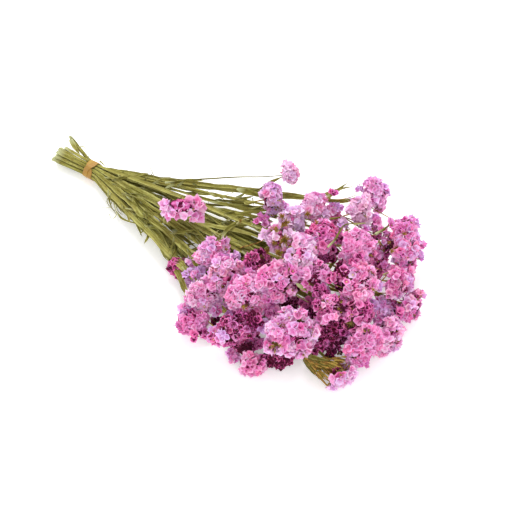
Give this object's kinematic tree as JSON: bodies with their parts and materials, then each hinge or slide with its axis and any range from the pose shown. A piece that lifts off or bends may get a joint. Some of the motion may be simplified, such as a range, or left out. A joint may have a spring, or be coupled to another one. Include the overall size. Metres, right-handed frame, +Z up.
{
  "type": "dried statice bunch",
  "caption": "Lying bunch of dried statice: winged green stalks held by a rubber band near their cut ends, opening into a cushion of papery pink flower heads.",
  "frame": {"origin": "on the table, under the middle of the bunch's box", "axes": "+X along the bunch from the cut ends to the flowers, +Y across it, +Z up from the table"},
  "size_m": [0.5406, 0.328, 0.1097],
  "materials": {
    "stalk": "dry, fibrous and matt",
    "calyx": "dry and papery, matt",
    "band": "smooth, slightly waxy"
  },
  "bodies": {
    "root": {"flower_head_01a": "calyx", "flower_head_01b": "calyx", "flower_head_02a": "calyx", "flower_head_02b": "calyx", "flower_head_02c": "calyx", "flower_head_02d": "calyx", "flower_head_03a": "calyx", "flower_head_03b": "calyx", "flower_head_04a": "calyx", "flower_head_04b": "calyx", "flower_head_05a": "calyx", "flower_head_06a": "calyx", "flower_head_06b": "calyx", "flower_head_07a": "calyx", "flower_head_07b": "calyx", "flower_head_07c": "calyx", "flower_head_08a": "calyx", "flower_head_08b": "calyx", "flower_head_09a": "calyx", "flower_head_09b": "calyx", "flower_head_09c": "calyx", "flower_head_10a": "calyx", "flower_head_10b": "calyx", "flower_head_11a": "calyx", "flower_head_12a": "calyx", "flower_head_12b": "calyx", "flower_head_13a": "calyx", "flower_head_13b": "calyx", "flower_head_14a": "calyx", "flower_head_14b": "calyx", "flower_head_15a": "calyx", "flower_head_15b": "calyx", "flower_head_16a": "calyx", "flower_head_16b": "calyx", "flower_head_17a": "calyx", "flower_head_17b": "calyx", "flower_head_17c": "calyx", "flower_head_18a": "calyx", "flower_head_19a": "calyx", "flower_head_19b": "calyx", "rubber_band": "band", "stem_01": "stalk", "stem_02": "stalk", "stem_03": "stalk", "stem_04": "stalk", "stem_05": "stalk", "stem_06": "stalk", "stem_07": "stalk", "stem_08": "stalk", "stem_09": "stalk", "stem_10": "stalk", "stem_11": "stalk", "stem_12": "stalk", "stem_13": "stalk", "stem_14": "stalk", "stem_15": "stalk", "stem_16": "stalk", "stem_17": "stalk", "stem_18": "stalk", "stem_19": "stalk"}
  },
  "joints": []
}
